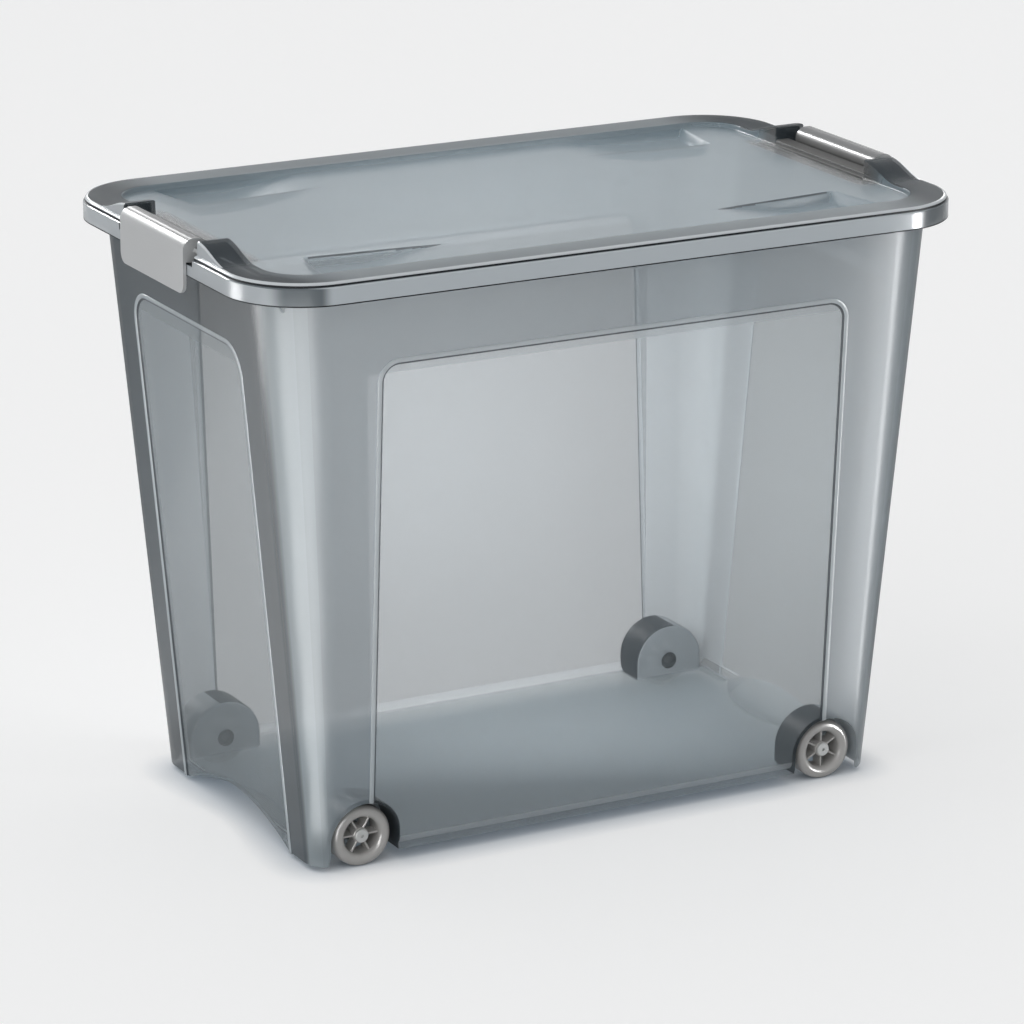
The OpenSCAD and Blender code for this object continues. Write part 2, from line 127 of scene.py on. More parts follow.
def new_piece(name, verts, faces):
    mesh = bpy.data.meshes.new(name)
    mesh.from_pydata([tuple(float(c) * MM for c in v) for v in verts], [], faces)
    obj = bpy.data.objects.new(name, mesh)
    bpy.context.scene.collection.objects.link(obj)
    bm = bmesh.new()
    bm.from_mesh(mesh)
    bmesh.ops.recalc_face_normals(bm, faces=bm.faces)
    bm.to_mesh(mesh)
    bm.free()
    return obj


def loft(name, sections, closed=False):
    """Closed solid through sections, each a closed loop of the same number of points."""
    count, size = len(sections), len(sections[0])
    verts = [p for s in sections for p in s]
    faces = []
    for i in range(count if closed else count - 1):
        a, b = i * size, (i + 1) % count * size
        for j in range(size):
            k = (j + 1) % size
            faces.append((a + j, a + k, b + k, b + j))
    if not closed:
        faces.append(tuple(range(size)))
        faces.append(tuple(range((count - 1) * size, count * size)))
    return new_piece(name, verts, faces)


def apply_modifiers(obj):
    bpy.context.view_layer.update()
    graph = bpy.context.evaluated_depsgraph_get()
    mesh = bpy.data.meshes.new_from_object(obj.evaluated_get(graph), depsgraph=graph)
    old = obj.data
    obj.modifiers.clear()
    obj.data = mesh
    bpy.data.meshes.remove(old)
    return obj


def combine(obj, others, operation):
    for other in others:
        mod = obj.modifiers.new("combine", "BOOLEAN")
        mod.operation = operation
        mod.solver = "MANIFOLD"
        mod.object = other
    apply_modifiers(obj)
    for other in others:
        bpy.data.objects.remove(other)
    return obj


def mirrored(obj, x=1, y=1):
    """Copy of a piece mirrored in X, Y or both."""
    copy = obj.copy()
    copy.data = obj.data.copy()
    bpy.context.scene.collection.objects.link(copy)
    copy.data.transform(Matrix.Diagonal((x, y, 1, 1)))
    if x * y < 0:
        copy.data.flip_normals()
    return copy


def at_all_ends(obj, x=True, y=True):
    """A piece with its mirrored copies."""
    out = [obj]
    if x:
        out.append(mirrored(obj, -1, 1))
    if y:
        out += [mirrored(o, 1, -1) for o in list(out)]
    return out


def smooth(obj, angle=35.0):
    obj.data.shade_smooth()
    obj.data.set_sharp_from_angle(angle=math.radians(angle))
    mod = obj.modifiers.new("normals", "WEIGHTED_NORMAL")
    mod.keep_sharp = True
    mod.weight = 80
    return obj


def soften(obj, width, segments):
    """Small round on the sharp edges."""
    mod = obj.modifiers.new("soften", "BEVEL")
    mod.width = width * MM
    mod.segments = segments
    mod.limit_method = "ANGLE"
    mod.angle_limit = math.radians(40.0)
    mod.use_clamp_overlap = True
    mod.harden_normals = False


def block(name, a, b):
    (x0, y0, z0), (x1, y1, z1) = a, b
    base = [(x0, y0), (x1, y0), (x1, y1), (x0, y1)]
    return loft(name, [[(x, y, z) for x, y in base] for z in (z0, z1)])


def arc(cx, cy, r, a0, a1, n):
    return [(cx + r * math.cos(math.radians(a0 + (a1 - a0) * i / n)),
             cy + r * math.sin(math.radians(a0 + (a1 - a0) * i / n))) for i in range(n + 1)]


def along_y(name, outline, y0, y1):
    """Prism along Y of a closed outline of X and Z points."""
    return loft(name, [[(x, y, z) for x, z in outline] for y in (y0, y1)])


def rounded_ring(hx, hy, r, z, x_stops=(-1, 1), y_stops=(-1, 1)):
    """Rounded rectangle as a loop. The stops are places along the straight sides, from -1 to 1."""
    ax, ay = hx - r, hy - r
    pts = [(hx, ay * s) for s in y_stops]
    pts += arc(ax, ay, r, 0, 90, ARC_N)[1:-1]
    pts += [(ax * s, hy) for s in reversed(x_stops)]
    pts += arc(-ax, ay, r, 90, 180, ARC_N)[1:-1]
    pts += [(-hx, ay * s) for s in reversed(y_stops)]
    pts += arc(-ax, -ay, r, 180, 270, ARC_N)[1:-1]
    pts += [(ax * s, -hy) for s in x_stops]
    pts += arc(ax, -ay, r, 270, 360, ARC_N)[1:-1]
    return [(x, y, z) for x, y in pts]


def drafted_ring(z, inset, x_stops, y_stops):
    return rounded_ring(wall_x(z) - inset, wall_y(z) - inset, corner_r(z) - inset, z, x_stops, y_stops)


# Tub

def even_stops(n):
    return [2 * i / n - 1 for i in range(n + 1)]


def tub_body():
    """Walls and floor, with room left round the wells and over the arches."""
    stops_x, stops_y = even_stops(16), even_stops(8)
    foot_edge = ((0.0, 1.2), (0.4, 0.4))
    foot_edge_h, wall_steps, round_steps = 1.5, 12, 6
    heights = [FOOT_Z + foot_edge_h] + [FOOT_Z + WALL_H * i / wall_steps for i in range(1, wall_steps + 1)]
    outer = [drafted_ring(FOOT_Z + h, inset, stops_x, stops_y) for h, inset in foot_edge]
    outer += [drafted_ring(z, 0, stops_x, stops_y) for z in heights]
    body = loft("tub_shell", outer)
    inner = []
    for i in range(round_steps + 1):
        a = math.radians(90 / round_steps * i)
        inner.append(drafted_ring(FLOOR_Z + FLOOR_ROUND * (1 - math.cos(a)),
                                  WALL + FLOOR_ROUND * (1 - math.sin(a)), stops_x, stops_y))
    inner += [drafted_ring(z, WALL, stops_x, stops_y) for z in heights[1:]]
    inner.append(drafted_ring(TUB_H + 1, WALL, stops_x, stops_y))
    cavity = loft("cavity", inner)
    combine(cavity, at_all_ends(well_body()) + at_all_ends(scoop(WALL), y=False), "DIFFERENCE")
    combine(body, [cavity], "DIFFERENCE")
    return body


def well_arch(r):
    """Half circle over a wheel's axis, as X and Z points."""
    return [(WHEEL_X + x, WHEEL_Z + z) for x, z in arc(0, 0, r, 0, 180, 40)]


def well_body():
    """Housing round a wheel, with the round inner edge that shows inside the bin."""
    def section(r, y):
        outline = well_arch(r) + [(WHEEL_X - r, BELOW), (WHEEL_X + r, BELOW)]
        return [(x, y, z) for x, z in outline]

    edge, steps = 2.0, 4
    sections = []
    for i in range(steps + 1):
        a = math.radians(90 / steps * i)
        r = WELL_R + WELL_T - edge * (1 - math.cos(a))
        sections.append(section(r, WELL_Y + edge * (1 - math.sin(a))))
    sections.reverse()
    sections.append(section(WELL_R + WELL_T, BEYOND_Y))
    return loft("well_body", sections)


def well_void():
    """Space that a wheel turns in, with its mouth flared at the foot."""
    flare_z = FOOT_Z + NOTCH_H
    outline = well_arch(WELL_R)
    outline += [(WHEEL_X - WELL_R, flare_z), (WHEEL_X - WELL_R - NOTCH_W, BELOW),
                (WHEEL_X + WELL_R + NOTCH_W, BELOW), (WHEEL_X + WELL_R, flare_z)]
    return along_y("well_void", outline, WELL_Y + WELL_T, BEYOND_Y)


def disc(name, r, y0, y1):
    """Cylinder on the wheel's axis, at the right and back."""
    outline = [(WHEEL_X + x, WHEEL_Z + z) for x, z in arc(0, 0, r, 0, 360, HOLE_N)[:-1]]
    return along_y(name, outline, y0, y1)


def scoop(grow):
    """Cylinder that cuts the arch under the right end wall, or with grow the wall's thickness over it."""
    slope, half_length = math.radians(ARCH_SLOPE), 90
    along = Vector((math.cos(slope), 0, math.sin(slope)))
    down = Vector((math.sin(slope), 0, -math.cos(slope)))
    centre = Vector((wall_x(ARCH_TOP), 0, ARCH_TOP)) + down * ARCH_R
    sections = []
    for t in (-half_length, half_length):
        ring = []
        for i in range(360):
            a = math.radians(i)
            ring.append(centre + along * t - down * (ARCH_R + grow) * math.cos(a)
                        + Vector((0, 1, 0)) * (ARCH_R + grow) * math.sin(a))
        sections.append(ring)
    return loft("scoop", sections)


def wall_point(side, u, v, n):
    """Point on a wall: u along it, v up it from its foot and n out of it. The side is "back" or "right"."""
    if side == "back":
        return (u, FOOT_Y + v * math.sin(SIDE_LEAN) + n * math.cos(SIDE_LEAN),
                FOOT_Z + v * math.cos(SIDE_LEAN) - n * math.sin(SIDE_LEAN))
    return (FOOT_X + v * math.sin(END_LEAN) + n * math.cos(END_LEAN), u,
            FOOT_Z + v * math.cos(END_LEAN) - n * math.sin(END_LEAN))


def window_path(window, lean, inset):
    """Open path up one side of a window, across its top and down the other side."""
    hw, top, r = window
    v_top = (top - FOOT_Z) / math.cos(lean) - inset
    hw = hw - inset
    r = r - inset
    low, third, corner_n = -14.0, 0.33, 12
    path = [(hw, low), (hw, v_top / 3), (hw, 2 * v_top / 3)]
    path += arc(hw - r, v_top - r, r, 0, 90, corner_n)
    path += [(third * hw, v_top), (-third * hw, v_top)]
    path += arc(-hw + r, v_top - r, r, 90, 180, corner_n)
    path += [(-hw, 2 * v_top / 3), (-hw, v_top / 3), (-hw, low)]
    return path


def window_recess(side, window, lean):
    """Cut that leaves a window's face a step behind the wall's, with a rounded border."""
    border = [(0.0, 4.0), (0.0, 0.0), (0.25, -0.35), (0.9, -0.8), (1.6, -WINDOW_STEP)]
    sections = [[wall_point(side, u, v, n) for u, v in window_path(window, lean, inset)]
                for inset, n in border]
    return loft("recess", sections)


def window_bead(side, window, lean):
    """Raised line round a window, swept along its outline."""
    profile = [(-BEAD_W / 2 * math.cos(math.radians(a)), BEAD_H * math.sin(math.radians(a)) ** 0.8)
               for a in (4, 30, 60, 90, 120, 150, 176)]
    sunk, offset = -0.9, -BEAD_W / 2
    profile += [(BEAD_W / 2, sunk), (-BEAD_W / 2, sunk)]
    rails = [[wall_point(side, u, v, n) for u, v in window_path(window, lean, offset + d)]
             for d, n in profile]
    return loft("bead", list(zip(*rails)))


def end_stops(*places):
    """Stops along the end walls at these distances from the middle."""
    return sorted(set([-1.0, 0.0, 1.0] + [s * p / LID_AY for p in places for s in (-1, 1)]))


def tub_rim():
    """Flange with its turned-down lip, lower under each clip."""
    stops_y = end_stops(30, 60, LOW_RIM_Y - 0.4, LOW_RIM_Y, 90)
    profile = [(-WALL / 2, -RIM_T), (RIM_REACH - 4.2, -RIM_T), (RIM_REACH - 2.9, -RIM_T - 0.5),
               (RIM_REACH - RIM_T, -RIM_T - 1.9), (RIM_REACH - RIM_T, None), (RIM_REACH, None),
               (RIM_REACH, -2.4), (RIM_REACH - 0.7, -0.8), (RIM_REACH - 2.4, 0), (-WALL / 2, 0)]
    sections = []
    for reach, drop in profile:
        ring = rounded_ring(MOUTH_X + reach, MOUTH_Y + reach, MOUTH_R + reach, 0, even_stops(8), stops_y)
        out = []
        for x, y, _ in ring:
            low = abs(x) > LID_AX and abs(y) < LOW_RIM_Y - 0.2
            base = LOW_RIM_Z if low else TUB_H
            lip = LOW_LIP_Z if low else LIP_Z
            out.append((x, y, lip if drop is None else base + drop))
        sections.append(out)
    return loft("rim", sections, closed=True)


def gusset():
    """Web under the rim on the diagonal of the corner at the right and back."""
    cx, cy = MOUTH_X - MOUTH_R, MOUTH_Y - MOUTH_R
    outline = [(MOUTH_R - 2 * WALL, TUB_H - GUSSET_H), (MOUTH_R - WALL / 2, TUB_H - 1),
               (MOUTH_R + RIM_REACH - 1, TUB_H - 1), (MOUTH_R + RIM_REACH - 1, LIP_Z + 1)]
    c = math.sqrt(0.5)
    sections = []
    for s in (-GUSSET_T / 2, GUSSET_T / 2):
        sections.append([(cx + r * c - s * c, cy + r * c + s * c, z) for r, z in outline])
    return loft("gusset", sections)


def make_tub():
    tub = tub_body()
    far = 40.0
    behind = WELL_Y - 4
    low_cut = block("low_cut", (LID_AX, -LOW_RIM_Y, LOW_RIM_Z), (LID_X, LOW_RIM_Y, TUB_H + far))
    combine(tub, at_all_ends(low_cut, y=False), "DIFFERENCE")
    beads = at_all_ends(window_bead("back", SIDE_WINDOW, SIDE_LEAN), x=False)
    beads += at_all_ends(window_bead("right", END_WINDOW, END_LEAN), y=False)
    combine(tub, beads + [tub_rim()] + at_all_ends(gusset()), "UNION")
    cuts = at_all_ends(window_recess("back", SIDE_WINDOW, SIDE_LEAN), x=False)
    cuts += at_all_ends(window_recess("right", END_WINDOW, END_LEAN), y=False)
    cuts += at_all_ends(well_void())
    cuts += at_all_ends(scoop(0), y=False)
    inside = rounded_ring(FOOT_X - WALL, FOOT_Y - WALL, FOOT_R - WALL, 0)
    cuts.append(loft("under", [[(x, y, z) for x, y, _ in inside] for z in (-far, SIDE_Z)]))
    cuts.append(block("side_cut", (-WHEEL_X, -FOOT_Y - far, -far), (WHEEL_X, FOOT_Y + far, SIDE_Z)))
    cuts.append(block("ground", (-LID_X, -LID_Y, -2 * far), (LID_X, LID_Y, FOOT_Z)))
    combine(tub, cuts, "DIFFERENCE")
    boss = disc("boss", SOCKET_R + WELL_T, WELL_Y + WELL_T - 1, SOCKET_FLOOR)
    combine(tub, at_all_ends(boss), "UNION")
    holes = at_all_ends(disc("socket", SOCKET_R, behind, SOCKET_FLOOR - WELL_T))
    holes += at_all_ends(disc("bore", BORE_R, behind, SOCKET_FLOOR + 1))
    combine(tub, holes, "DIFFERENCE")
    return smooth(tub)


# Lid

def wing_height(y):
    """Rise of the wing at a distance from the middle."""
    return WING_RISE * (1 - ease((abs(y) - SEAT_Y) / (WING_END_Y - SEAT_Y)))


def inner_edge(h, rise):
    """Last points of the rim's top, at height h, where it drops to the panel."""
    return [(28.2, h), (29.2, h - 0.3), (29.8, h - 1.0), (30.0, LID_TOP - 2.0 + 0.3 * rise),
            (30.3, PANEL_Z + 0.6), (31.2, PANEL_Z - 0.4)]


def inner_edge_under(h, rise):
    """The same on the underside."""
    return [(26.4, h), (27.0, h - 0.2), (27.4, h - 0.8), (27.8, LID_TOP - 4.4 + 0.2 * rise),
            (28.1, PANEL_Z - 1.8), (31.2, PANEL_Z - 3.0)]


def plain_profile(rise, under):
    """Points across the lid's rim as (distance in from the edge, height), from the skirt to the panel, on the
    top or the underside. The rise is that of a wing."""
    t, wi, top = LID_T, WING_INSET, LID_TOP
    h = top + rise
    if under:
        h -= t
        return [(t, SKIRT_Z + 0.4), (t, 456.0), (t, top - 4.6), (t + 0.3, top - 3.4), (t + 0.9, top - 2.6),
                (t + 1.3, top - 2.3), (t + 1.4, top - 2.25), (t + 1.6, top - t), (wi + t, top - t),
                (wi + t + 0.2, h), (wi + t + 0.9, h), (11.0, h), (14.0, h), (18.0, h),
                (23.0, h)] + inner_edge_under(h, rise)
    return [(0.0, SKIRT_Z + 0.4), (0.0, SKIRT_Z + SKIRT_LINE_H), (0.0, top - 4.4), (0.3, top - 3.8),
            (1.2, top - 3.4), (1.5, top - 3.1), (1.5, top - 1.6), (1.8, top - 1.0), (2.5, top - 0.35),
            (wi - 0.1, top), (wi, top), (wi + 0.2, top + 0.86 * rise), (wi + 0.7, top + 0.96 * rise),
            (wi + 1.6, h), (10.0, h), (14.0, h), (18.0, h), (23.0, h)] + inner_edge(h, rise)


def seat_profile(under):
    """The same across a clip's seat, with saddle and trough, in as many points as the plain profile."""
    t = LID_T if under else 0.0
    z, flat, r = SADDLE_Z - t, LID_TOP - t, TROUGH_R + t
    trough = [(LID_X - HINGE_X + r * math.sin(q), HINGE_Z - r * math.cos(q))
              for q in map(math.radians, (0, 18, 36, 54, 70))]
    if under:
        trough[4] = (20.4, flat - 1.6)
        return [(t, SKIRT_Z + 0.4), (t, 451.0), (t, z - 2.0), (t + 0.2, z - 1.2), (t + 0.5, z - 0.6),
                (t + 0.9, z - 0.3), (t + 1.2, z - 0.1), (t + 1.5, z), (5.0, z), *trough,
                (24.0, flat)] + inner_edge_under(flat, 0)
    return [(0.0, SKIRT_Z + 0.4), (0.0, SKIRT_Z + SKIRT_LINE_H), (0.0, z - 1.4), (0.15, z - 0.8),
            (0.4, z - 0.4), (0.7, z - 0.2), (1.0, z - 0.1), (1.5, z), (2.0, z), (2.5, z), (5.0, z), *trough,
            (18.4, flat), (23.0, flat)] + inner_edge(flat, 0)


def lid_rim():
    """Rim, skirt, wings and clip seats in one closed ring."""
    step = 0.35
    stops_y = end_stops(20, 40, SEAT_Y - 1, SEAT_Y, SEAT_Y + step, SEAT_Y + WING_END_T / 2,
                        SEAT_Y + WING_END_T / 2 + step, 73, 78, 83, 88, 93, 98, 103, 108, 112, 117)
    stops_x = even_stops(24)
    base = rounded_ring(LID_X, LID_Y, LID_R, 0, stops_x, stops_y)
    columns = []
    for x, y, _ in base:
        at_end = abs(x) > LID_AX
        seat = at_end and abs(y) < SEAT_Y + step / 2
        seat_under = at_end and abs(y) < SEAT_Y + (WING_END_T + step) / 2
        rise = wing_height(y) if at_end else 0.0
        top = seat_profile(False) if seat else plain_profile(rise, False)
        low = seat_profile(True) if seat_under else plain_profile(rise, True)
        columns.append([(0.5, SKIRT_Z)] + top + low[::-1] + [(LID_T - 0.5, SKIRT_Z)])
    sections = []
    for k in range(len(columns[0])):
        ring = []
        for j, (x, y, _) in enumerate(base):
            d, z = columns[j][k]
            cx, cy = max(min(x, LID_AX), -LID_AX), max(min(y, LID_AY), -LID_AY)
            r = math.hypot(x - cx, y - cy)
            f = (r - d) / r
            ring.append((cx + (x - cx) * f, cy + (y - cy) * f, z))
        sections.append(ring)
    return loft("lid_shell", sections, closed=True)


def ease(u):
    u = min(max(u, 0.0), 1.0)
    return u * u * (3 - 2 * u)


def pocket_side(x):
    """Where a pocket's inner side lies at a distance from the middle of the bin."""
    u = (x - POCKET_X[0]) / (POCKET_X[3] - POCKET_X[0])
    return POCKET_Y[1] + (POCKET_Y[0] - POCKET_Y[1]) * min(max(u, 0), 1)


def pocket_depth(x, y):
    """Depth of the panel's top below its level, where a pocket is."""
    x, y = abs(x), abs(y)
    end_w, side_w, outer_w = 5.0, 3.0, 2.2
    slope = ease((x - POCKET_X[0]) / (POCKET_X[1] - POCKET_X[0]))
    lean = max(y - 95.0, 0.0) * 0.16
    end = 1 - ease((x - POCKET_X[2] - lean) / end_w)
    side = ease((y - pocket_side(x)) / side_w)
    outer = 1 - ease((y - POCKET_OUTER_Y) / outer_w)
    return POCKET_D * slope * end * side * outer


def panel():
    """Recessed panel with its four pockets, as a sheet of even thickness."""
    fine_x = [POCKET_X[0] + i * (POCKET_X[1] - POCKET_X[0]) / 24 for i in range(25)]
    fine_x += [190.0, 198.0, 206.0, 214.0] + [POCKET_X[2] - 1 + i for i in range(17)]
    xs = [0.0, 27.0, 54.0, 81.0] + fine_x + [240.0, 248.0, 256.0, 264.0, 272.0]
    xs = [-x for x in reversed(xs[1:])] + xs
    rows = [0.0, 0.35, 0.7, 0.9, 0.97]
    edge = [-0.5, 0.0, 0.4, 0.8, 1.2, 1.6, 2.0, 2.4, 2.8, 3.2, 4.0]
    outer = [110.0, 118.0, 126.0, 134.0, 142.0, 148.0, 151.0, POCKET_OUTER_Y, 152.0, 152.4, 152.8, 153.2,
             153.6, 153.9, 156.0]
    top = []
    for x in xs:
        s = pocket_side(abs(x))
        ys = [s * r for r in rows] + [s + e for e in edge] + outer
        ys = [-y for y in reversed(ys[1:])] + ys
        top.append([(x, y, PANEL_Z - pocket_depth(x, y)) for y in ys])
    nx, ny = len(xs), len(top[0])
    verts = [p for col in top for p in col]
    verts += [(x, y, z - LID_T) for col in top for x, y, z in col]
    faces = []
    half = nx * ny
    for i in range(nx - 1):
        for j in range(ny - 1):
            a, b, c, d = i * ny + j, (i + 1) * ny + j, (i + 1) * ny + j + 1, i * ny + j + 1
            faces.append((a, b, c, d))
            faces.append((half + d, half + c, half + b, half + a))
    border = list(range(ny)) + [i * ny + ny - 1 for i in range(1, nx)]
    border += [(nx - 1) * ny + j for j in range(ny - 2, -1, -1)] + [i * ny for i in range(nx - 2, 0, -1)]
    for p, q in zip(border, border[1:] + border[:1]):
        faces.append((p, q, half + q, half + p))
    sheet = new_piece("panel", verts, faces)
    trim, low, high = 29.4, 440, 470
    outline = rounded_ring(LID_X - trim, LID_Y - trim, LID_R - trim, 0)
    keep = loft("keep", [[(x, y, z) for x, y, _ in outline] for z in (low, high)])
    return combine(sheet, [keep], "INTERSECT")


def make_lid():
    lid = lid_rim()
    combine(lid, [panel()], "UNION")
    return smooth(lid, 40.0)


# Clips

def clip_outline():
    """Section of a clip about its hinge: a hanging plate with a rolled top."""
    reach, t, inner_r = PLATE_REACH, CLIP_T, ROLL_R - CLIP_T
    lip, plate_n, roll_n = -3.0, 12, 16
    outer = [(reach, -PLATE_DROP)]
    outer += arc(reach - OUTER_ROLL_R, ROLL_R - OUTER_ROLL_R, OUTER_ROLL_R, 0, 90, plate_n)
    outer += arc(0, 0, ROLL_R, 90, 180 + math.degrees(math.asin(-lip / ROLL_R)), roll_n)
    inner = arc(0, 0, inner_r, 180 + math.degrees(math.asin(-lip / inner_r)), 90, roll_n)
    inner += arc(reach - OUTER_ROLL_R, ROLL_R - OUTER_ROLL_R, OUTER_ROLL_R - t, 90, 0, plate_n)
    inner += [(reach - t, -PLATE_DROP)]
    return outer + inner


def make_clip(name):
    """Clip at the right end."""
    outline = [(HINGE_X + x, HINGE_Z + z) for x, z in clip_outline()]
    hw, cheek_gap, over, overlap = CLIP_W / 2, 0.02, 5, 0.1
    clip = along_y(name, outline, -hw, hw)
    cheek = [(HINGE_X + x, HINGE_Z + z) for x, z in arc(0, 0, ROLL_R - cheek_gap, 90, 270, 24)]
    cheek += [(HINGE_X + PLATE_REACH - 0.5, HINGE_Z - ROLL_R + 1)]
    cheek += [(HINGE_X + x, HINGE_Z + z) for x, z in
              arc(PLATE_REACH - OUTER_ROLL_R, ROLL_R - OUTER_ROLL_R, OUTER_ROLL_R - cheek_gap, 0, 90, 12)]
    ends = [along_y("cheek", cheek, a, b) for a, b in ((-hw, CLIP_T - hw), (hw - CLIP_T, hw))]
    combine(clip, ends, "UNION")
    z0, r = HINGE_Z - PLATE_DROP, CLIP_CORNER_R
    corners = []
    for s in (-1, 1):
        outline = [(s * (hw + over), z0 - over), (s * (hw + over), z0 + r)]
        outline += [(s * y, z) for y, z in arc(hw - r, z0 + r, r, 0, -90, 10)]
        outline += [(s * (hw - r), z0 - over)]
        sections = [[(x, y, z) for y, z in outline] for x in (HINGE_X + 2, HINGE_X + 20)]
        corners.append(loft("corner", sections))
    combine(clip, corners, "DIFFERENCE")
    soften(clip, width=0.7, segments=3)
    apply_modifiers(clip)
    pegs = []
    for s in (-1, 1):
        ring = [(HINGE_X + x, HINGE_Z + z) for x, z in arc(0, 0, HINGE_R, 0, 360, 32)[:-1]]
        a, b = sorted((s * (hw - 1), s * (SEAT_Y + WING_END_T - overlap)))
        pegs.append(along_y("peg", ring, a, b))
    combine(clip, pegs, "UNION")
    return smooth(clip)


# Wheels and pegs

def lathe(name, profile, sx, sy):
    """Solid of revolution about a wheel's axis from closed (radius, y) points."""
    sections = []
    for i in range(LATHE_N):
        a = 2 * math.pi * i / LATHE_N
        sections.append([(sx * WHEEL_X + r * math.cos(a), sy * y, WHEEL_Z + r * math.sin(a))
                         for r, y in profile])
    return loft(name, sections, closed=True)


def make_wheel(name, sx, sy, spin):
    """Wheel with a domed ring, spokes that start at an angle of spin, and a hub."""
    back, face = WHEEL_Y - WHEEL_W, WHEEL_Y
    ring = WHEEL_R - EYE_R
    half = ring / 2
    profile = [(WHEEL_R - 0.6, back), (WHEEL_R, back + 0.6), (WHEEL_R, face - half)]
    profile += arc(EYE_R + half, face - half, half, 0, 180, 16)[1:]
    profile += [(EYE_R, back + 0.5), (EYE_R + 0.5, back)]
    hollow_d = 9
    profile += [(EYE_R + 2, back), (EYE_R + 2, back + hollow_d), (WHEEL_R - 3, back + hollow_d),
                (WHEEL_R - 3, back)]
    wheel = lathe(name, profile, sx, sy)
    spokes = []
    for i in range(SPOKES):
        a = 2 * math.pi * i / SPOKES + spin
        c, s = math.cos(a), math.sin(a)
        w0, w1 = SPOKE_T / 2, SPOKE_T / 2 + 0.35
        sections = []
        for y, w in ((face - half - 0.3, w0 - 0.3), (face - half - 0.6, w0), (back + 3, w1)):
            ring_pts = [(HUB_R - 2, -w), (EYE_R + 1, -w), (EYE_R + 1, w), (HUB_R - 2, w)]
            sections.append([(sx * WHEEL_X + r * c - q * s, sy * y, WHEEL_Z + r * s + q * c)
                             for r, q in ring_pts])
        spokes.append(loft("spoke", sections))
    hub_face = face - 3.4
    hub = lathe("hub", [(BORE_R, HUB_END), (BORE_R, hub_face), (HUB_R - 0.5, hub_face),
                        (HUB_R, hub_face - 0.5), (HUB_R, HUB_END)], sx, sy)
    combine(wheel, spokes + [hub], "UNION")
    combine(wheel, [wheel_bore(sx, sy)], "DIFFERENCE")
    return smooth(wheel)


def wheel_bore(sx, sy):
    """Hole for the axle peg, right through the wheel."""
    outline = [(sx * WHEEL_X + x, WHEEL_Z + z) for x, z in arc(0, 0, BORE_R, 0, 360, HOLE_N)[:-1]]
    a, b = sorted((sy * (HUB_END - 2), sy * (WHEEL_Y + 2)))
    return along_y("bore", outline, a, b)


# Materials

# Clouding of colour and of roughness, and the scales of the clouds, of the grain and of the slow wave
MOTTLE, ROUGH_MOTTLE = 0.06, 0.1
CLOUD_SCALE, GRAIN_SCALE, WAVE_SCALE = 9.0, 700.0, 120.0
PLASTIC_IOR, COAT_ROUGHNESS = 1.49, 0.25
BUMP_STRENGTH, BUMP_M = 0.02, 0.0004


def principled(name):
    mat = bpy.data.materials.new(name)
    mat.use_nodes = True
    tree = mat.node_tree
    return mat, tree, tree.nodes["Principled BSDF"]


def add(tree, kind, **inputs):
    node = tree.nodes.new(kind)
    for key, value in inputs.items():
        node.inputs[key].default_value = value
    return node


def math_node(tree, operation, a, b=None):
    node = tree.nodes.new("ShaderNodeMath")
    node.operation = operation
    for socket, value in zip(node.inputs, (a, b)):
        if isinstance(value, (int, float)):
            socket.default_value = value
        elif value is not None:
            tree.links.new(value, socket)
    return node.outputs[0]


def smooth_step(tree, value, low, high):
    """0 below the low value and 1 above the high one."""
    node = tree.nodes.new("ShaderNodeMapRange")
    node.interpolation_type = "SMOOTHSTEP"
    node.inputs["From Min"].default_value = low
    node.inputs["From Max"].default_value = high
    tree.links.new(value, node.inputs["Value"])
    return node.outputs["Result"]


def blend(tree, factor, a, b):
    """Colour a where the factor is 0 and b where it is 1. Both are a colour or a socket."""
    node = tree.nodes.new("ShaderNodeMix")
    node.data_type = "RGBA"
    tree.links.new(factor, node.inputs["Factor"])
    for key, value in (("A", a), ("B", b)):
        if isinstance(value, tuple):
            node.inputs[key].default_value = (*value, 1)
        else:
            tree.links.new(value, node.inputs[key])
    return node.outputs["Result"]


def absolutes(tree, vector):
    split = tree.nodes.new("ShaderNodeSeparateXYZ")
    tree.links.new(vector, split.inputs[0])
    return [math_node(tree, "ABSOLUTE", split.outputs[axis]) for axis in "XYZ"]


def painted_turn_light_shade(ends, shade_band=None):
    """Colour that goes from the side walls' to the end walls' as the surface turns, with a strip of another
    colour beside the side walls. It paints light by facing: a painted highlight where the tub's walls turn
    into the corners, painted shade on the lid's skirt.
    """
    def build(tree, coords, sides):
        along = absolutes(tree, coords.outputs["Normal"])[0]
        out = blend(tree, along, sides, ends)
        if shade_band:
            start = smooth_step(tree, along, 0.08, 0.24)
            stop = math_node(tree, "SUBTRACT", 1.0, smooth_step(tree, along, 0.6, 0.8))
            out = blend(tree, math_node(tree, "MULTIPLY", start, stop), out, shade_band)
        return out
    return build


def painted_end_shade(flat):
    """Painted shade: colour that is darker on the flat end walls than where they turn into the corners."""
    def build(tree, coords, turned):
        along = absolutes(tree, coords.outputs["Normal"])[0]
        return blend(tree, smooth_step(tree, along, 0.9, 0.99), turned, flat)
    return build


def painted_shade_towards_ends(ends, start, stop, half_width=None):
    """Colour that changes between two distances from the middle, over all the width or near the middle; it
    paints shade towards the ends.
    """
    def build(tree, coords, middle):
        x, y, _ = absolutes(tree, coords.outputs["Object"])
        factor = smooth_step(tree, x, start * MM, stop * MM)
        if half_width:
            outside = smooth_step(tree, y, 0.75 * half_width * MM, half_width * MM)
            factor = math_node(tree, "MULTIPLY", factor, math_node(tree, "SUBTRACT", 1.0, outside))
        return blend(tree, factor, middle, ends)
    return build


